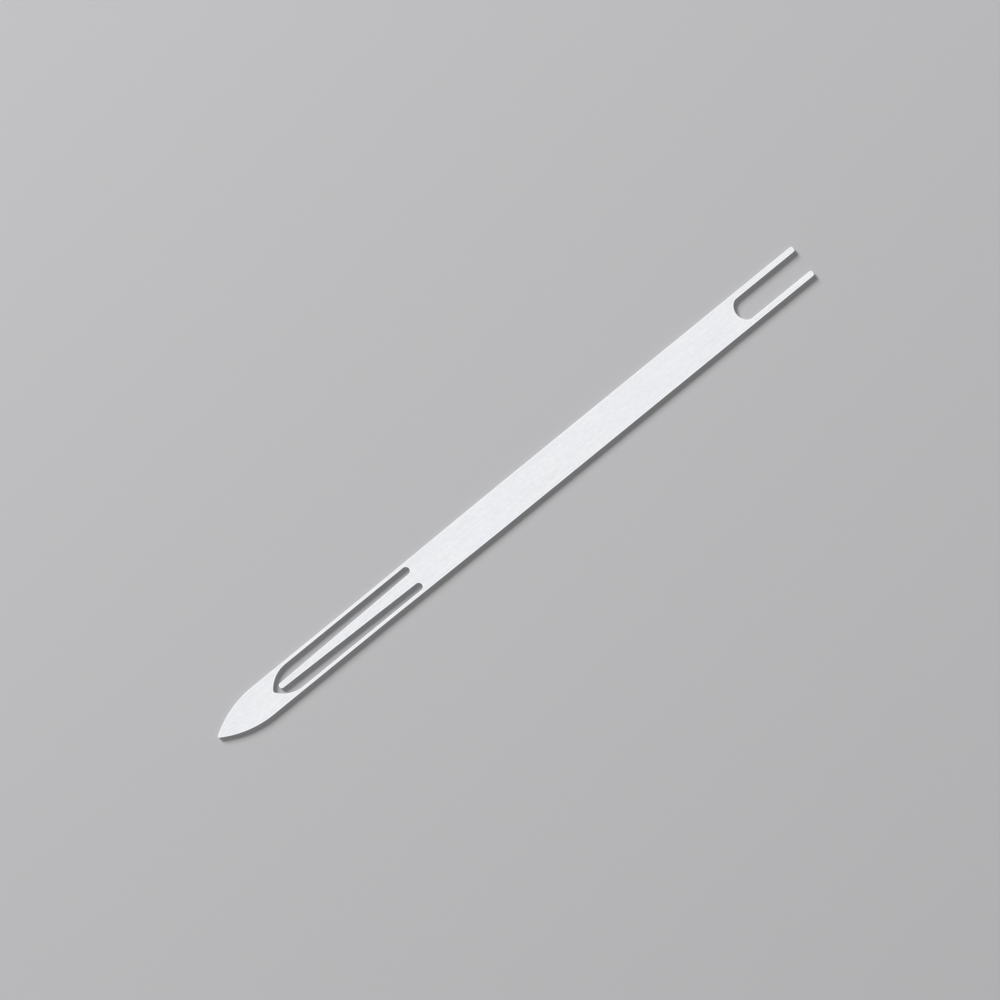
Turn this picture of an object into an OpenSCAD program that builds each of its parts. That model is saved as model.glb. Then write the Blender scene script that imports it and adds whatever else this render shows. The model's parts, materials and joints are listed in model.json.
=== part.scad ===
// Netting needle, cut from one flat strip of springy stainless steel.
// From the point backwards it has a pointed nose, an eye with a tongue in it, a plain
// body that the twine lies along, and a forked heel that the twine turns round.
//
// Millimetres. The needle lies flat, with the middle of its underside at the origin.
// +X runs from the point to the heel, +Y across the needle and +Z up through the sheet.
// Every distance called "from the point" is measured along X from the very tip.

/* [Strip] */
// Length over all, from the point to the ends of the prongs
needle_len = 200; // [130:1:300]
// Width behind the eye
body_w = 9.9; // [8.5:0.1:14]
// Width beside the eye, where the strip is slightly slimmer
eye_part_w = 9.45; // [8:0.05:13]
// Thickness of the sheet
sheet_t = 1; // [0.6:0.1:2]
// From the point to where the strip starts to widen
flare_start = 56; // [35:1:80]
// Length over which it widens
flare_len = 36; // [8:1:45]

/* [Nose] */
// Length of the curved sides of the nose
nose_len = 15.3; // [8:0.1:18]
// Radius of the blunted point
point_r = 0.4; // [0.2:0.05:1.5]

/* [Eye] */
// From the point to the front of the eye
eye_start = 19.1; // [18:0.1:26]
// From the front of the eye to the closed ends of its two slots
eye_len = 48.3; // [32:0.1:60]
// Length of the pointed arch at the front of the eye
arch_len = 7; // [4:0.1:12]
// Radius at the peak of the arch
arch_r = 0.5; // [0.3:0.05:1.6]
// Width of the rail on each side of the eye
rail_w = 1; // [0.6:0.05:1.6]

/* [Tongue] */
// Gap between the tip of the tongue and the front of the eye
tongue_tip_gap = 1.85; // [0.8:0.05:6]
// Width of the tongue at its round tip
tongue_tip_w = 1.64; // [1:0.02:3]
// Width of the tongue at the closed ends of the slots
tongue_root_w = 3.45; // [2:0.05:4.5]
// From the closed ends of the slots to the line that the tongue bends about
bend_setback = 7; // [3:0.5:14]
// How far the tongue bends each way, in degrees
flex_angle = 5; // [2:0.5:8]

/* [Heel] */
// Depth of the fork, from the ends of the prongs to its floor
fork_depth = 22.7; // [10:0.1:32]
// Width of each prong
prong_w = 1.7; // [1.3:0.05:2.4]
// How much more than half the gap's width the radius of the fork's floor is
floor_flatness = 0.4; // [0.1:0.05:4]
// Radius of the fork's floor where it turns into the prongs
floor_corner_r = 2.2; // [0.8:0.05:2.4]
// Corner radius at the ends of the prongs
prong_corner_r = 0.6; // [0.15:0.05:0.65]

/* [Hidden] */

// How far the flats that an arc is drawn with may lie inside it
chord_error = 0.001;

// Room between the two faces of the bend line when the tongue is bent all the way
bend_clearance = 0.02;
// Width of the bend line at rest. The first term is how far the edges of the tongue's root
// face swing back.
bend_line = sheet_t / 2 * sin(flex_angle) + bend_clearance;

eye_half = eye_part_w / 2 - rail_w;
eye_end = eye_start + eye_len;
bend_x = eye_end - bend_setback;

// The tongue's sides touch its round tip and are tongue_root_w apart at the closed ends of
// the slots. tongue_slope is the angle of each side to the X axis.
tongue_tip_r = tongue_tip_w / 2;
tongue_tip_x = eye_start + tongue_tip_gap + tongue_tip_r;
tongue_run = eye_end - tongue_tip_x;
tongue_slope = acos(tongue_tip_r / norm([tongue_run, tongue_root_w / 2]))
             - atan2(tongue_run, tongue_root_w / 2);

// Each slot closes in the arc that touches both the rail and the tongue.
slot_r = (eye_half - tongue_root_w / 2) / (1 + 1 / cos(tongue_slope) - tan(tongue_slope));

// The fork's floor is a three-centred curve, a little flatter than a half circle.
fork_half = body_w / 2 - prong_w;
floor_r = fork_half + floor_flatness;
floor_centre_x = needle_len - fork_depth + floor_r;
corner_y = fork_half - floor_corner_r;
corner_x = floor_centre_x - sqrt(pow(floor_r - floor_corner_r, 2) - pow(corner_y, 2));
corner_angle = atan2(corner_y, corner_x - floor_centre_x);

// The points of an arc, from one angle to another
function arc(centre, r, from_angle, to_angle) =
    let (turn = to_angle - from_angle,
         steps = ceil(abs(turn) / (2 * acos(1 - chord_error / r))))
    [for (i = [0:steps]) centre + r * [cos(from_angle + turn * i / steps),
                                       sin(from_angle + turn * i / steps)]];

// One side of a pointed arch, from its round tip at from_x to its full width, where it ends
// parallel to X
function arch_side(from_x, arch_length, half_w, tip_r) =
    let (run = arch_length - tip_r,
         side_r = (pow(run, 2) + pow(half_w, 2) - pow(tip_r, 2)) / (2 * (half_w - tip_r)),
         side_centre = [from_x + arch_length, half_w - side_r],
         touch_angle = atan2(side_r - half_w, -run))
    concat(arc([from_x + tip_r, 0], tip_r, 180, touch_angle),
           arc(side_centre, side_r, touch_angle, 90));

// Half the tongue's width at a distance from the point
function tongue_half(x) = tongue_root_w / 2 - (eye_end - x) * tan(tongue_slope);

// A closed outline that is the same on both sides of X, from the points of its +Y side
function with_mirror(side) =
    concat(side, [for (i = [len(side) - 1:-1:0]) [side[i][0], -side[i][1]]]);

// From the point along the nose and the side, round the prong and down to the fork's floor
outer_side = concat(
    arch_side(0, nose_len, eye_part_w / 2, point_r),
    [[flare_start, eye_part_w / 2], [flare_start + flare_len, body_w / 2]],
    arc([needle_len - prong_corner_r, body_w / 2 - prong_corner_r], prong_corner_r, 90, 0),
    arc([needle_len - prong_corner_r, fork_half + prong_corner_r], prong_corner_r, 0, -90),
    arc([corner_x, corner_y], floor_corner_r, 90, corner_angle),
    arc([floor_centre_x, 0], floor_r, corner_angle, 180)
);

// From the peak of the eye along the rail, round the end of the slot and back along the
// root of the tongue to the bend line
eye_side = concat(
    arch_side(eye_start, arch_len, eye_half, arch_r),
    arc([eye_end - slot_r, eye_half - slot_r], slot_r, 90, tongue_slope - 90),
    [[bend_x + bend_line / 2, tongue_half(bend_x + bend_line / 2)]]
);

// From the tip of the tongue along its side to the bend line
tongue_side = concat(
    arc([tongue_tip_x, 0], tongue_tip_r, 180, 90 + tongue_slope),
    [[bend_x - bend_line / 2, tongue_half(bend_x - bend_line / 2)]]
);

// A piece of the sheet, with the origin put under the middle of the needle
module cut_from_sheet() {
    translate([-needle_len / 2, 0, 0]) linear_extrude(sheet_t) children();
}

// The nose, the rails, the body, the fork and the root of the tongue
module needle_body() {
    color("gainsboro") cut_from_sheet() difference() {
        polygon(with_mirror(outer_side));
        polygon(with_mirror(eye_side));
    }
}

// The free length of the tongue, which bends up and down about the line at bend_x
module tongue() {
    color("whitesmoke") cut_from_sheet() polygon(with_mirror(tongue_side));
}

needle_body();
tongue();
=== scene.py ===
# %% [markdown]
# # A steel netting needle
#
# A netting needle, or netting shuttle, carries the twine while a net is made or mended. This
# one is a single strip of springy stainless steel, 200 mm long and 1 mm thick: a pointed nose,
# an eye with a tongue in it that the twine loops over, a plain body and a forked heel.
#
# The CAD model already has the outline. What it lacks is what the hand and the eye notice
# first: edges rounded so that they don't cut the twine, a tongue with no slit where the CAD
# hinge is, and the finish of the steel.
#
# First the CAD model is loaded. Its box is kept, because the finished needle has to fit it.

# %% Load the CAD model
import json
import math
from collections import namedtuple

import bmesh
import bpy
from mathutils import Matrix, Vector


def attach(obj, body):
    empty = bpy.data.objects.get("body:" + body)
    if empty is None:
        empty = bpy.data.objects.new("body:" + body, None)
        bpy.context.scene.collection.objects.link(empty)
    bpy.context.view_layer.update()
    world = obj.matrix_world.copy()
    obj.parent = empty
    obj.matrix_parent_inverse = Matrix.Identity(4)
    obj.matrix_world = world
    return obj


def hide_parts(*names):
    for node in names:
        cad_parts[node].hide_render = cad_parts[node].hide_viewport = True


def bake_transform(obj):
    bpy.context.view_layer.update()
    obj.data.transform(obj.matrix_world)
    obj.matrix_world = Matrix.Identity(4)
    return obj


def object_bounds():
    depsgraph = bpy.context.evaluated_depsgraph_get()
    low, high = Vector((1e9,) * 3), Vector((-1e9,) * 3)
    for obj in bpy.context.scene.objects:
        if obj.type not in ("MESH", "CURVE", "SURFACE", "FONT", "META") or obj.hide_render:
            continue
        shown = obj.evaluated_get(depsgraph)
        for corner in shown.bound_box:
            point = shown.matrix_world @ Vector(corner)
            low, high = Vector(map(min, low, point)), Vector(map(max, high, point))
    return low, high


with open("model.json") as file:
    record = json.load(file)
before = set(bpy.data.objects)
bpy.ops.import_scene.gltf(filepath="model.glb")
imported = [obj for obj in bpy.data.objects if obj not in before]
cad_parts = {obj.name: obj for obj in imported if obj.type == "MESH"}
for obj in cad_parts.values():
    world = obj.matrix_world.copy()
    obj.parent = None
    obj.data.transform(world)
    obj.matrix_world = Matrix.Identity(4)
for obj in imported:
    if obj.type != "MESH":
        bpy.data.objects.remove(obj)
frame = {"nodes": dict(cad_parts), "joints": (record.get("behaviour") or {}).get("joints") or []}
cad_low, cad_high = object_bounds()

MM = 0.001
sheet_t = cad_high.z - cad_low.z
print("CAD box in mm:", [round(size / MM, 2) for size in cad_high - cad_low])

# %% [markdown]
# ## The rims
#
# The real needle is cut from flat sheet, so its outline and a thickness say almost
# everything. The outline could be drawn again here from arcs, but then two drawings would
# have to agree for ever. Instead it is read off the top faces of the CAD solids.
#
# The solids come in as loose triangles, so a copy is merged first. An edge between the top
# face and a wall is part of a rim. Each such edge is taken in the direction in which its top
# face goes round. That keeps the steel on its left: the outer rim runs anticlockwise and the
# eye's rim clockwise, and "to the left" always means "into the steel".

# %% Read the rims of a solid's top face
MERGE_DISTANCE = 1e-4 * MM


def is_on_top(triangle):
    """Whether a triangle of a solid is part of its top face."""
    return triangle.normal.z > 0.5


def top_rims(node):
    """The closed rims of a CAD node's top face, the one that reaches furthest forward first."""
    bm = bmesh.new()
    bm.from_mesh(frame["nodes"][node].data)
    bmesh.ops.remove_doubles(bm, verts=bm.verts, dist=MERGE_DISTANCE)
    bm.normal_update()
    # The triangles are taken in the mesh's own order. A set of them has another order in each
    # run, and the rims would start at other points.
    follows = {}
    for triangle in filter(is_on_top, bm.faces):
        for loop in triangle.loops:
            if not all(map(is_on_top, loop.edge.link_faces)):
                follows[loop.vert] = loop.link_loop_next.vert
    rims = []
    while follows:
        vert = next(iter(follows))
        rim = []
        while vert in follows:
            rim.append(vert.co.xy.copy())
            vert = follows.pop(vert)
        rims.append(rim)
    bm.free()
    return sorted(rims, key=lambda rim: min(point.x for point in rim))


outer_rim, eye_rim = top_rims("needle_body")
(tongue_rim,) = top_rims("tongue")
print("points on the outer, eye and tongue rims:", *map(len, (outer_rim, eye_rim, tongue_rim)))

# %% [markdown]
# ## Where the tongue begins
#
# The CAD model cuts the tongue across with a fine slit, the line that its hinge turns about.
# The real tongue has no such cut. It is one with the body, and bends along its length like a
# leaf spring. The needle is still made here as two pieces, because the rails beside the
# tongue have to stay still while it bends.
#
# The two pieces meet at a seam close to the closed ends of the slots, where the bend starts
# and nothing moves yet. Each rim has two corners on the slit. Those corners slide along the
# sides of the tongue to the seam, so the body keeps a stub and the tongue grows back to it.

# %% Open the rims at the slit, and slide their ends to the seam
# A point of a rim this close to the line of the hinge is a corner on the slit
SLIT_ROOM = 0.2 * MM
STUB_LENGTH = 0.9 * MM

(tongue_hinge,) = frame["joints"]
slit_x = tongue_hinge["pos_m"][0]


def opened_at_slit(rim):
    """The rim as an open line that starts and ends at its corners on the slit."""
    on_slit = [abs(point.x - slit_x) < SLIT_ROOM for point in rim]
    first = next(i for i in range(len(rim)) if on_slit[i] and on_slit[i - 1])
    return rim[first:] + rim[:first]


def slid_ends(line, x):
    """The line with both ends slid along its first and last edges until they are at x."""
    slid = list(line)
    for end, kept in ((0, 1), (-1, -2)):
        side = line[end] - line[kept]
        slid[end] = line[kept] + side * (x - line[kept].x) / side.x
    return slid


eye_line, tongue_line = opened_at_slit(eye_rim), opened_at_slit(tongue_rim)
# The second point of the eye's line is where the side of the tongue meets the end of a slot
seam_x = eye_line[1].x - STUB_LENGTH
eye_line, tongue_line = slid_ends(eye_line, seam_x), slid_ends(tongue_line, seam_x)
print("seam at x =", round(seam_x / MM, 2), "mm, tongue there",
      round(abs(tongue_line[0].y - tongue_line[-1].y) / MM, 3), "mm wide")

# %% [markdown]
# ## Stations along the sides
#
# A straight edge has no points between its ends, and a mesh can only bend where it has
# points. A subdivision would add points everywhere, also on the arcs, which have enough. So
# only the long edges are cut, into stretches of a millimetre at most.

# %% Add the stations
STATION = 1 * MM


def with_stations(line):
    """The line with every long edge cut into equal stretches."""
    points = [line[0]]
    for a, b in zip(line, line[1:]):
        steps = math.ceil((b - a).length / STATION)
        points += [a.lerp(b, i / steps) for i in range(1, steps + 1)]
    return points


outer_points = with_stations(outer_rim + outer_rim[:1])[:-1]
eye_points = with_stations(eye_line)
tongue_points = with_stations(tongue_line)
print("points with the stations:", *map(len, (outer_points, eye_points, tongue_points)))

# %% [markdown]
# ## The way into the steel
#
# Rounding an edge needs the direction into the steel at every point. The normals of the walls
# would give it, but a step of one unit along a corner's normal moves its two edges in by less
# than one unit, and the rounding would get thinner there. So the step is made a little longer
# at a corner, until both its edges move in by exactly one unit.
#
# At the seam the step runs straight across the tongue, which keeps the seam's face flat.

# %% Find the step into the steel at each point
Rim = namedtuple("Rim", "points steps starts_on_seam")


def rim_with_steps(points, starts_on_seam):
    """A rim with, for each point, the step that moves both its edges inward by one unit."""
    lefts = [Vector((a.y - b.y, b.x - a.x)).normalized()
             for a, b in zip(points[-1:] + points, points)]
    steps = [(left + next_left) / (1 + left.dot(next_left))
             for left, next_left in zip(lefts, lefts[1:] + lefts[:1])]
    if starts_on_seam:
        steps[0] = Vector((0, 1 / lefts[1].y))
        steps[-1] = Vector((0, 1 / lefts[-1].y))
    return Rim(points, steps, starts_on_seam)


needle_rims = [rim_with_steps(outer_points, starts_on_seam=False),
               rim_with_steps(eye_points, starts_on_seam=True)]
tongue_rims = [rim_with_steps(tongue_points, starts_on_seam=True)]
longest_step = max(step.length for rim in needle_rims + tongue_rims for step in rim.steps)
print("longest step, at the sharpest corner:", round(longest_step, 3), "units")

# %% [markdown]
# ## Rims as a mesh
#
# A geometry node tree needs something to start from. A curve object could hold the rims, but
# it can't carry the step into the steel along with them. A mesh can, as an attribute on its
# points, and it needs no faces for that, only edges.
#
# The edge across the seam is left out. A wall raised on it would share its smooth shading
# with the top, which darkens the top along the seam, and its last ring would have no width
# there. The open end gets one flat face with sharp edges later.

# %% Make the rims a mesh of edges
INWARD = "inward"


def rims_mesh(name, rims):
    """A mesh of the rims' edges, with the steps into the steel on its points."""
    mesh = bpy.data.meshes.new(name)
    edges = []
    first = 0
    for rim in rims:
        last = first + len(rim.points) - 1
        edges += [(i, i + 1) for i in range(first, last)]
        if not rim.starts_on_seam:
            edges.append((last, first))
        first = last + 1
    mesh.from_pydata([(point.x, point.y, 0) for rim in rims for point in rim.points], edges, [])
    attribute = mesh.attributes.new(INWARD, "FLOAT_VECTOR", "POINT")
    attribute.data.foreach_set("vector", [number for rim in rims for step in rim.steps
                                          for number in (step.x, step.y, 0)])
    return mesh


# %% [markdown]
# ## A node tree that cuts from sheet
#
# The shape follows one rule all the way round: up the wall, round the edge in a quarter
# circle, then flat across. A Bevel modifier could round the edges of a plain extrusion, but
# at the tight ends of the slots it depends on how the flat faces happen to be split. A rule
# that walks up the profile ring by ring always gives clean rings.
#
# The inputs of the tree are what a workshop drawing would say: how thick the sheet is, how
# far its edges are rounded and in how many steps. The tree makes the upper half only, from
# the middle of the sheet upwards. The lower half is its mirror image.

# %% Helpers for building trees


def add_node(tree, kind, inputs=(), **settings):
    """A new node, its settings made, and its inputs linked or set by name or number."""
    node = tree.nodes.new(kind)
    for name, value in settings.items():
        setattr(node, name, value)
    for name, value in dict(inputs).items():
        if isinstance(value, bpy.types.NodeSocket):
            tree.links.new(value, node.inputs[name])
        else:
            node.inputs[name].default_value = value
    return node


def maths(tree, operation, *values):
    """What a Math node makes of the values."""
    return add_node(tree, "ShaderNodeMath", enumerate(values), operation=operation).outputs[0]


# %% Start the tree with its named inputs
SHEET_INPUTS = {"Rims": "Geometry", "Sheet thickness": "Float", "Edge radius": "Float",
                "Edge steps": "Int", "Flat ring": "Float", "Finish": "Material"}

sheet_tree = bpy.data.node_groups.new("cut_from_sheet", "GeometryNodeTree")
for input_name, input_kind in SHEET_INPUTS.items():
    sheet_tree.interface.new_socket(input_name, in_out="INPUT",
                                    socket_type="NodeSocket" + input_kind)
sheet_tree.interface.new_socket("Piece", in_out="OUTPUT", socket_type="NodeSocketGeometry")
given = add_node(sheet_tree, "NodeGroupInput").outputs
half_thickness = maths(sheet_tree, "DIVIDE", given["Sheet thickness"], 2)
print("inputs of the tree:", ", ".join(SHEET_INPUTS))

# %% [markdown]
# ## One ring of the profile
#
# Every stretch of the profile is the same small move: the edges of the top ring are extruded,
# and the new ring is shifted inward and up. The next move has to start from the new ring, so
# an attribute marks its edges.

# %% Extrude one ring
TOP_RING = "top_ring"


def with_top_ring(tree, mesh, edges):
    """The mesh with these edges, and no others, marked as its top ring."""
    return add_node(tree, "GeometryNodeStoreNamedAttribute",
                    {"Geometry": mesh, "Name": TOP_RING, "Value": edges},
                    data_type="BOOLEAN", domain="EDGE").outputs[0]


def extruded_ring(tree, mesh, inward, up):
    """The mesh with its top ring extruded inward and up, and the edges of the new ring."""
    ring = add_node(tree, "GeometryNodeInputNamedAttribute", {"Name": TOP_RING},
                    data_type="BOOLEAN").outputs[0]
    extrude = add_node(tree, "GeometryNodeExtrudeMesh",
                       {"Mesh": mesh, "Selection": ring, "Offset Scale": 0.0}, mode="EDGES")
    new_ring = extrude.outputs["Top"]
    step = add_node(tree, "GeometryNodeInputNamedAttribute", {"Name": INWARD},
                    data_type="FLOAT_VECTOR").outputs[0]
    across = add_node(tree, "ShaderNodeVectorMath", {0: step, "Scale": inward}, operation="SCALE")
    upward = add_node(tree, "ShaderNodeCombineXYZ", {"Z": up})
    offset = add_node(tree, "ShaderNodeVectorMath", {0: across.outputs[0], 1: upward.outputs[0]})
    moved = add_node(tree, "GeometryNodeSetPosition",
                     {"Geometry": with_top_ring(tree, extrude.outputs["Mesh"], new_ring),
                      "Selection": new_ring, "Offset": offset.outputs[0]})
    return moved.outputs[0], new_ring


# %% [markdown]
# ## Up the wall
#
# The wall is one tall ring, from the middle of the sheet to where the rounding starts.
#
# It also carries a number that says how polished it is, here 1. The rounding will inherit it
# with each extrusion, and the finish will read it, for a smoother gloss and for a painted
# highlight: a paler colour along the edges. Painting the edges by hand would do the
# same, but it would have to be done again after every change of shape.

# %% Raise the wall
EDGE_POLISH_AND_HIGHLIGHT = "edge_polish_and_highlight"


def with_polish_and_highlight(tree, mesh, polish_and_highlight, points=True):
    """The mesh with these points polished by so much, from 0 to 1, and painted paler as a
    highlight.
    """
    return add_node(tree, "GeometryNodeStoreNamedAttribute",
                    {"Geometry": mesh, "Selection": points, "Name": EDGE_POLISH_AND_HIGHLIGHT,
                     "Value": polish_and_highlight}).outputs[0]


# The rims start polished, which also places the painted highlight along the edges.
polished_highlighted_rims = with_top_ring(sheet_tree, with_polish_and_highlight(sheet_tree, given["Rims"], 1.0), True)
wall_height = maths(sheet_tree, "SUBTRACT", half_thickness, given["Edge radius"])
wall, _ = extruded_ring(sheet_tree, polished_highlighted_rims, 0.0, wall_height)
print("nodes up to the wall:", len(sheet_tree.nodes))

# %% [markdown]
# ## Round the edge
#
# The rounding is a quarter circle in equal turns. From one turn to the next the ring moves
# inward by what the cosine loses and up by what the sine gains. A chain of copied nodes would
# fix the number of steps. A Repeat Zone makes the move as often as the input says.

# %% Carry the ring round the edge


def quarter_circle_step(tree, step, steps, radius):
    """How far inward and how far up one step along the rounded edge goes."""
    turn = maths(tree, "DIVIDE", math.pi / 2, steps)
    start = maths(tree, "MULTIPLY", step, turn)
    end = maths(tree, "ADD", start, turn)
    inward = maths(tree, "SUBTRACT", maths(tree, "COSINE", start), maths(tree, "COSINE", end))
    up = maths(tree, "SUBTRACT", maths(tree, "SINE", end), maths(tree, "SINE", start))
    return maths(tree, "MULTIPLY", inward, radius), maths(tree, "MULTIPLY", up, radius)


def rounded_edge(tree, mesh, steps, radius):
    """The mesh with its top ring carried round a quarter circle, one step in each repeat."""
    repeat_start = tree.nodes.new("GeometryNodeRepeatInput")
    repeat_end = tree.nodes.new("GeometryNodeRepeatOutput")
    repeat_start.pair_with_output(repeat_end)
    tree.links.new(steps, repeat_start.inputs["Iterations"])
    tree.links.new(mesh, repeat_start.inputs["Geometry"])
    inward, up = quarter_circle_step(tree, repeat_start.outputs["Iteration"], steps, radius)
    ring, _ = extruded_ring(tree, repeat_start.outputs["Geometry"], inward, up)
    tree.links.new(ring, repeat_end.inputs["Geometry"])
    return repeat_end.outputs["Geometry"]


rounding = rounded_edge(sheet_tree, wall, given["Edge steps"], given["Edge radius"])
print("nodes up to the rounding:", len(sheet_tree.nodes))

# %% [markdown]
# ## Across the flat face
#
# A last narrow ring lies flat. It keeps the shading of the rounding off the flat face, and
# the polish, with its painted highlight, fades out across it. Its edges then become curves,
# because Fill Curve knows an outer curve from a hole in it, so the eye stays open. It also
# draws the missing line where a curve is open at the seam.

# %% Close the top
flat, flat_edges = extruded_ring(sheet_tree, rounding, given["Flat ring"], 0.0)
sides = with_polish_and_highlight(sheet_tree, flat, 0.0, flat_edges)
ring_curves = add_node(sheet_tree, "GeometryNodeMeshToCurve",
                       {"Mesh": sides, "Selection": flat_edges})
filled = add_node(sheet_tree, "GeometryNodeFillCurve", {"Curve": ring_curves.outputs[0]})
half_up = add_node(sheet_tree, "ShaderNodeCombineXYZ", {"Z": half_thickness}).outputs[0]
face = add_node(sheet_tree, "GeometryNodeSetPosition",
                {"Geometry": filled.outputs[0], "Offset": half_up})
print("nodes up to the flat face:", len(sheet_tree.nodes))

# %% [markdown]
# ## Both halves
#
# A mirrored face looks the other way, so the lower half is flipped back to point outwards.
# Merging by distance then joins the halves at the middle of the sheet, and each flat face to
# its ring. What the tree needed only for itself is removed, and the tree ends by making its
# result real and giving it the finish.

# %% Mirror the upper half and end the tree
WELD_DISTANCE = 1e-3 * MM


def joined(tree, *parts):
    """A node that joins the first outputs of the parts."""
    join = tree.nodes.new("GeometryNodeJoinGeometry")
    for part in parts:
        tree.links.new(part.outputs[0], join.inputs[0])
    return join


outward_sides = add_node(sheet_tree, "GeometryNodeFlipFaces", {"Mesh": sides})
upper = joined(sheet_tree, outward_sides, face)
mirrored = add_node(sheet_tree, "GeometryNodeTransform",
                    {"Geometry": upper.outputs[0], "Scale": (1, 1, -1)})
lower = add_node(sheet_tree, "GeometryNodeFlipFaces", {"Mesh": mirrored.outputs[0]})
welded = add_node(sheet_tree, "GeometryNodeMergeByDistance",
                  {"Geometry": joined(sheet_tree, upper, lower).outputs[0],
                   "Distance": WELD_DISTANCE})
lifted = add_node(sheet_tree, "GeometryNodeTransform",
                  {"Geometry": welded.outputs[0], "Translation": half_up})
result = add_node(sheet_tree, "GeometryNodeSetShadeSmooth", {"Geometry": lifted.outputs[0]})
for used_up in (INWARD, TOP_RING):
    result = add_node(sheet_tree, "GeometryNodeRemoveAttribute",
                      {"Geometry": result.outputs[0], "Name": used_up})
real = add_node(sheet_tree, "GeometryNodeRealizeInstances", {"Geometry": result.outputs[0]})
finished = add_node(sheet_tree, "GeometryNodeSetMaterial",
                    {"Geometry": real.outputs[0], "Material": given["Finish"]})
add_node(sheet_tree, "NodeGroupOutput", {0: finished.outputs[0]})
print("nodes in the whole tree:", len(sheet_tree.nodes))

# %% [markdown]
# ## The finish of the steel
#
# Cold-rolled stainless sheet is bright but not a mirror. Rolling and brushing leave very fine
# lines along the strip, each a micron or so deep, and tumbling the finished needles in
# abrasive softens them into a satin with a faint mottle. The rounded edges rub hardest in
# the tumbler and on the twine, so they are the smoothest part, and their colour is painted
# paler as a highlight.
#
# An image of brushed steel would be the quick way, but it stretches, repeats and has one size.
# Here all of it is noise on Object coordinates, which has a real scale and stays with the
# piece. Noise is round by nature. Squeezed across the strip and stretched along it, it turns
# into lines.

# %% Noise in millimetres, stretched along the strip
# How strong each finer layer of a noise is next to the layer before it
LAYER_FADE = 0.6


def noise(tree, along, across, detail, turn=0.0):
    """Noise whose features are about along by across mm, turned from the strip in degrees."""
    place = add_node(tree, "ShaderNodeTexCoord").outputs["Object"]
    turned = add_node(tree, "ShaderNodeMapping",
                      {"Vector": place, "Rotation": (0, 0, math.radians(turn))})
    scaled = add_node(tree, "ShaderNodeMapping",
                      {"Vector": turned.outputs[0],
                       "Scale": (1 / (along * MM), 1 / (across * MM), 1 / (across * MM))})
    return add_node(tree, "ShaderNodeTexNoise",
                    {"Vector": scaled.outputs[0], "Scale": 1.0, "Detail": detail,
                     "Roughness": LAYER_FADE}).outputs[0]


def spread(tree, value, low, high, to_low=0.0, to_high=1.0):
    """The value, with low to high spread over to_low to to_high, and cut off outside."""
    return add_node(tree, "ShaderNodeMapRange",
                    {"Value": value, "From Min": low, "From Max": high,
                     "To Min": to_low, "To Max": to_high}).outputs[0]


# %% The patterns of the finish
FINE_SHARE, BRUSH_SHARE, MOTTLE_SHARE = 0.35, 0.30, 0.35

steel = bpy.data.materials.new("satin_steel")
steel.use_nodes = True
finish = steel.node_tree
steel_shader = finish.nodes["Principled BSDF"]
steel_shader.inputs["Metallic"].default_value = 1.0

fine_lines = noise(finish, along=18, across=0.07, detail=1)
brush_lines = noise(finish, along=26, across=0.24, detail=2)
mottle = noise(finish, along=1.3, across=0.8, detail=4)
lines = maths(finish, "MULTIPLY_ADD", fine_lines, FINE_SHARE,
              maths(finish, "MULTIPLY", brush_lines, BRUSH_SHARE))
tone = maths(finish, "MULTIPLY_ADD", mottle, MOTTLE_SHARE, lines)
print("nodes of the patterns:", len(finish.nodes))

# %% [markdown]
# ## Scratches
#
# A needle that has been in use has a few hairlines: most run nearly along it, some cross it.
# Scratches could be modelled one by one, but a stretched noise that is cut off just under its
# peaks leaves a few thin streaks by itself. The polished edges stay clear of them.

# %% Scratches on the flat faces
LONG_PEAKS = (0.72, 0.77)
CROSS_PEAKS = (0.75, 0.80)

# The polish number marks the smoother edges and where their highlight is painted.
polish_and_highlight = add_node(finish, "ShaderNodeAttribute", attribute_name=EDGE_POLISH_AND_HIGHLIGHT).outputs["Fac"]
unpolished = maths(finish, "SUBTRACT", 1.0, polish_and_highlight)
long_scratches = spread(finish, noise(finish, along=26, across=0.20, detail=0, turn=2.5),
                        *LONG_PEAKS)
cross_scratches = spread(finish, noise(finish, along=9, across=0.14, detail=0, turn=-31),
                         *CROSS_PEAKS)
scratches = maths(finish, "MULTIPLY", unpolished,
                  maths(finish, "MAXIMUM", long_scratches, cross_scratches))
print("nodes with the scratches:", len(finish.nodes))

# %% [markdown]
# ## Colour
#
# A metal shows its finish in its reflections, so its colour hardly changes, but with one grey
# all over it would look painted from close by. The colour is a little deeper in the lines and
# scratches, and it drifts between a cool and a neutral grey from place to place: a painted
# reflection of the surroundings that bright steel picks up. The polished edges are the
# palest, a painted highlight along them.

# %% Colour the steel
# The cool grey is a painted reflection of the surroundings, not a colour of the steel.
STEEL_COOL_REFLECTION = (0.904, 0.911, 0.956, 1)
STEEL_NEUTRAL = (0.916, 0.927, 0.934, 1)
STEEL_DEEP = (0.805, 0.820, 0.850, 1)
# The polished edges' colour is a painted highlight, paler than the steel.
STEEL_POLISHED_HIGHLIGHT = (0.975, 0.980, 0.990, 1)
REFLECTION_DRIFT_SPAN = (0.38, 0.62)
TONE_SPAN = (0.40, 0.60)
SCRATCH_DEEPER = 0.08
# The numbers of the Mix node's sockets when it mixes colours, because their names repeat
MIX_SHARE, MIX_FIRST, MIX_SECOND, MIX_RESULT = 0, 6, 7, 2


def mixed(tree, share, first, second):
    """The first colour where the share is 0, and the second where it is 1."""
    return add_node(tree, "ShaderNodeMix",
                    {MIX_SHARE: share, MIX_FIRST: first, MIX_SECOND: second},
                    data_type="RGBA").outputs[MIX_RESULT]


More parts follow.
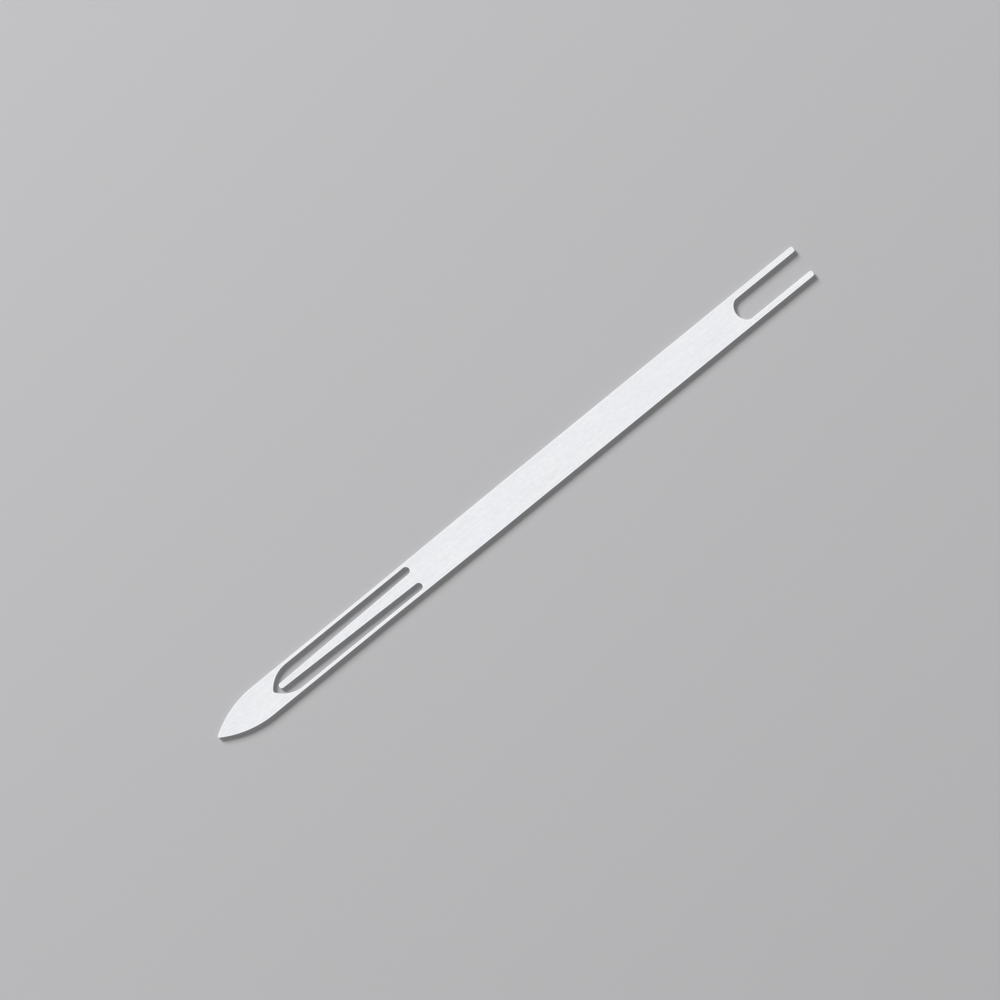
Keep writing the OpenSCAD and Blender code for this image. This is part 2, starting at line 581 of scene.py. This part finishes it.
# The colour drifts towards the cool grey in patches: a painted reflection.
painted_reflection_drift = noise(finish, along=9, across=5, detail=1)
pale_with_reflection = mixed(finish, spread(finish, painted_reflection_drift, *REFLECTION_DRIFT_SPAN), STEEL_COOL_REFLECTION, STEEL_NEUTRAL)
scored_tone = maths(finish, "MULTIPLY_ADD", scratches, -SCRATCH_DEEPER, tone)
satin_colour = mixed(finish, spread(finish, scored_tone, *TONE_SPAN), STEEL_DEEP, pale_with_reflection)
# The polished edges take the paler colour: a painted highlight along them.
steel_colour = mixed(finish, polish_and_highlight, satin_colour, STEEL_POLISHED_HIGHLIGHT)
finish.links.new(steel_colour, steel_shader.inputs["Base Color"])
print("nodes with the colour:", len(finish.nodes))

# %% [markdown]
# ## Gloss
#
# Roughness says how far a reflection is blurred. With the same blur all over, steel looks
# like grey plastic. Satin steel blurs a little more or less from place to place, in broad
# clouds and in its lines. Its edges are smoother, and a scratch is rougher than the steel
# around it.

# %% Set the gloss
SMOOTHEST, ROUGHEST = 0.25, 0.40
GLOSS_SPAN = (0.35, 0.65)
CLOUD_SHARE, TONE_SHARE = 0.4, 0.6
POLISH_SMOOTHER = 0.10
SCRATCH_ROUGHER = 0.10

clouds = noise(finish, along=16, across=7, detail=2)
cloudy = maths(finish, "MULTIPLY_ADD", clouds, CLOUD_SHARE,
               maths(finish, "MULTIPLY", tone, TONE_SHARE))
satin = spread(finish, cloudy, *GLOSS_SPAN, SMOOTHEST, ROUGHEST)
worn = maths(finish, "MULTIPLY_ADD", polish_and_highlight, -POLISH_SMOOTHER, satin)
roughness = maths(finish, "MULTIPLY_ADD", scratches, SCRATCH_ROUGHER, worn)
finish.links.new(roughness, steel_shader.inputs["Roughness"])
print("roughness of the flat faces:", SMOOTHEST, "to", ROUGHEST)

# %% [markdown]
# ## Relief
#
# The lines and scratches tilt the reflection. Displacement would cut them for real, but only
# into a mesh that is finer than the lines, with millions of faces. Bump tilts the shading
# alone. Its distance is a real size: a height from 0 to 1 in the pattern stands for a
# hundredth of a millimetre, and a scratch cuts about half as deep.

# %% Give the surface its relief
RELIEF_HEIGHT = 0.010 * MM
RELIEF_STRENGTH = 0.8
MOTTLE_RELIEF = 0.4
SCRATCH_DEPTH = 0.5

mottled_lines = maths(finish, "MULTIPLY_ADD", mottle, MOTTLE_RELIEF, lines)
relief = maths(finish, "MULTIPLY_ADD", scratches, -SCRATCH_DEPTH, mottled_lines)
bump = add_node(finish, "ShaderNodeBump", {"Height": relief, "Strength": RELIEF_STRENGTH,
                                           "Distance": RELIEF_HEIGHT})
finish.links.new(bump.outputs[0], steel_shader.inputs["Normal"])
print("nodes in the whole finish:", len(finish.nodes))

# %% [markdown]
# ## Sizes of the rounding
#
# A real needle's edges are rounded just enough to spare the twine. The radius can't be large:
# with the flat ring it has to stay under the 0.4 mm radius of the point, and under half a
# rail, or the rings would cross each other. Four steps look round even from close by.

# %% Set the sizes of the rounding
EDGE_RADIUS = 0.22 * MM
EDGE_STEPS = 4
FLAT_RING = 0.16 * MM
print("the rings reach", round((EDGE_RADIUS + FLAT_RING) / MM, 2), "mm into the steel")

# %% [markdown]
# ## The two pieces
#
# Each set of rims goes through the tree once. The result is turned into a plain mesh and the
# modifier is taken off, because later steps need a mesh that stays as it is.
#
# Then the end at the seam is closed with one flat face. Its edges are marked sharp, so that
# the shading of the top runs on to the other piece as if there were no seam.
#
# A quick test follows. Every edge of a closed mesh has exactly two faces, and a mesh whose
# faces point outwards has a volume above zero.

# %% Cut the pieces


def through_sheet_tree(name, rims):
    """An object with the plain mesh that the tree cuts from these rims."""
    piece = bpy.data.objects.new(name, rims_mesh(name + "_rims", rims))
    bpy.context.scene.collection.objects.link(piece)
    cut = piece.modifiers.new("cut from sheet", "NODES")
    cut.node_group = sheet_tree
    sizes = {"Sheet thickness": sheet_t, "Edge radius": EDGE_RADIUS, "Edge steps": EDGE_STEPS,
             "Flat ring": FLAT_RING, "Finish": steel}
    for socket in sheet_tree.interface.items_tree:
        if socket.name in sizes:
            cut[socket.identifier] = sizes[socket.name]
    evaluated = piece.evaluated_get(bpy.context.evaluated_depsgraph_get())
    mesh = bpy.data.meshes.new_from_object(evaluated)
    mesh.name = name
    piece.modifiers.remove(cut)
    piece.data = mesh
    return piece


def close_at_seam(piece):
    """Fill the open end of the piece, and print a test of its mesh."""
    bm = bmesh.new()
    bm.from_mesh(piece.data)
    seam_edges = [edge for edge in bm.edges if edge.is_boundary]
    for edge in seam_edges:
        edge.smooth = False
    bmesh.ops.holes_fill(bm, edges=seam_edges)
    open_edges = sum(len(edge.link_faces) != 2 for edge in bm.edges)
    volume = bm.calc_volume(signed=True) / MM**3
    print(f"{piece.name}: {len(bm.faces)} faces, {open_edges} open edges, {volume:.1f} mm3")
    bm.to_mesh(piece.data)
    bm.free()


needle = through_sheet_tree("needle_strip", needle_rims)
tongue = through_sheet_tree("spring_tongue", tongue_rims)
for piece in (needle, tongue):
    close_at_seam(piece)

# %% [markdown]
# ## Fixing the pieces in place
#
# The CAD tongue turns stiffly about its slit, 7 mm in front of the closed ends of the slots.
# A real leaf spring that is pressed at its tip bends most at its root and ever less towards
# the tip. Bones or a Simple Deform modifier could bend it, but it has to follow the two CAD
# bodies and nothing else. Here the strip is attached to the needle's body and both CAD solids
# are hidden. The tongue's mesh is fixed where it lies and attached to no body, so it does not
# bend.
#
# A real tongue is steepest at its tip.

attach(needle, "needle")
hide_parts("needle_body")
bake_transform(tongue)
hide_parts("tongue")

# %% [markdown]
# ## The floor
#
# A pale matt surface sets off the bright steel, and its soft shadow shows that the needle
# lies flat and how thin it is. A curved backdrop would hide the horizon, but from above there
# is none to hide, so one large square will do. It lies a hair below the needle, so that the
# two surfaces don't fight for the same place.

# %% Lay the floor
FLOOR_SIZE = 3.0
FLOOR_GAP = 0.02 * MM
FLOOR_GREY = (0.50, 0.50, 0.51, 1)
FLOOR_ROUGHNESS = 0.9
FLOOR_SHEEN = 0.1

reach = FLOOR_SIZE / 2
floor_mesh = bpy.data.meshes.new("floor")
floor_mesh.from_pydata([(-reach, -reach, -FLOOR_GAP), (reach, -reach, -FLOOR_GAP),
                        (reach, reach, -FLOOR_GAP), (-reach, reach, -FLOOR_GAP)],
                       [], [(0, 1, 2, 3)])
floor = bpy.data.objects.new("floor", floor_mesh)
bpy.context.scene.collection.objects.link(floor)
floor_finish = bpy.data.materials.new("matt_floor")
floor_finish.use_nodes = True
floor_shader = floor_finish.node_tree.nodes["Principled BSDF"]
floor_shader.inputs["Base Color"].default_value = FLOOR_GREY
floor_shader.inputs["Roughness"].default_value = FLOOR_ROUGHNESS
floor_shader.inputs["Specular IOR Level"].default_value = FLOOR_SHEEN
floor_mesh.materials.append(floor_finish)
print("floor:", FLOOR_SIZE, "m square,", round(FLOOR_GAP / MM, 2), "mm below the needle")

# %% [markdown]
# ## The camera
#
# The photograph is taken from straight above, with the needle running up to the right. Here
# the needle lies along X, so the camera looks straight down and is turned about Z instead.
# An orthographic camera would show no perspective at all. A long lens from well away comes
# close to that and still behaves like a real camera.
#
# The turn, the width of the view and its centre are the ones that lay the needle over the
# one in the photograph.

# %% Place the camera
NEEDLE_TILT = 39.19
LENS = 100
SENSOR = 36
VIEW_WIDTH = 264.8 * MM
VIEW_CENTRE = (-2.372 * MM, 1.490 * MM)

camera_data = bpy.data.cameras.new("camera")
camera_data.lens = LENS
camera_data.sensor_width = SENSOR
camera = bpy.data.objects.new("camera", camera_data)
bpy.context.scene.collection.objects.link(camera)
camera.location = (*VIEW_CENTRE, cad_high.z + VIEW_WIDTH * LENS / SENSOR)
camera.rotation_euler = (0, 0, -math.radians(NEEDLE_TILT))
bpy.context.scene.camera = camera
print("camera height:", round(camera.location.z, 4), "m")

# %% [markdown]
# ## The room
#
# A metal shows what it reflects, so it has to find a bright room. Panels of light on all
# sides would do that, but one plain gradient is simpler: white overhead and a little greyer
# towards the horizon, which draws the rounded edges.
#
# Light Path keeps two jobs of the world apart. The camera and the reflections see the bright
# room, while matt surfaces get less light from it, so that the lamp's shadow stays visible.

# %% Surround the needle with a pale room
ROOM_OVERHEAD = 1.0
ROOM_HORIZON = 0.72
ROOM_LIGHT = 0.30

world = bpy.data.worlds.new("studio")
world.use_nodes = True
bpy.context.scene.world = world
sky = world.node_tree
path = add_node(sky, "ShaderNodeLightPath").outputs
seen = maths(sky, "MAXIMUM", path["Is Camera Ray"],
             maths(sky, "MAXIMUM", path["Is Glossy Ray"], path["Is Transmission Ray"]))
direction = add_node(sky, "ShaderNodeTexCoord").outputs["Generated"]
steepness = add_node(sky, "ShaderNodeSeparateXYZ", {0: direction}).outputs["Z"]
room = spread(sky, steepness, 0, 1, ROOM_HORIZON, ROOM_OVERHEAD)
room_strength = spread(sky, seen, 0, 1, ROOM_LIGHT, room)
background = sky.nodes["Background"]
background.inputs["Color"].default_value = (1, 1, 1, 1)
sky.links.new(room_strength, background.inputs["Strength"])
print("the room is", ROOM_HORIZON, "bright at the horizon and", ROOM_OVERHEAD, "overhead")

# %% [markdown]
# ## The lamp
#
# One large soft lamp stands low at the upper left of the picture. Being low, it gives even a
# sheet 1 mm thick a shadow that can be seen. A sun with a wide angle would cast the same soft
# shadow, but it lights a floor evenly everywhere. A lamp 3 m away fades a little across the
# floor, as in a studio.
#
# Lamp and room together light the floor at about the level where a colour comes out as it is
# written. The lamp is kept out of the reflections, where it would burn white lines into the
# edges.

# %% Place the lamp
LAMP_WATTS = 140.0
LAMP_SIZE = 1.0
LAMP_DISTANCE = 3.0
LAMP_ELEVATION = 26
# Anticlockwise in the picture, from the right
LAMP_HEADING = 135

heading = math.radians(LAMP_HEADING - NEEDLE_TILT)
rise = math.radians(LAMP_ELEVATION)
towards_lamp = Vector((math.cos(rise) * math.cos(heading), math.cos(rise) * math.sin(heading),
                       math.sin(rise)))
lamp_data = bpy.data.lights.new("key_lamp", "AREA")
lamp_data.energy = LAMP_WATTS
lamp_data.size = LAMP_SIZE
lamp = bpy.data.objects.new("key_lamp", lamp_data)
bpy.context.scene.collection.objects.link(lamp)
lamp.location = towards_lamp * LAMP_DISTANCE
lamp.rotation_euler = towards_lamp.to_track_quat("Z", "Y").to_euler()
lamp.visible_glossy = False
print("lamp at", [round(number, 2) for number in lamp.location], "m")

# %% [markdown]
# ## Last steps
#
# The colours are shown as they are, with no film look.

# %% Show the colours as they are
bpy.context.scene.view_settings.view_transform = "Standard"
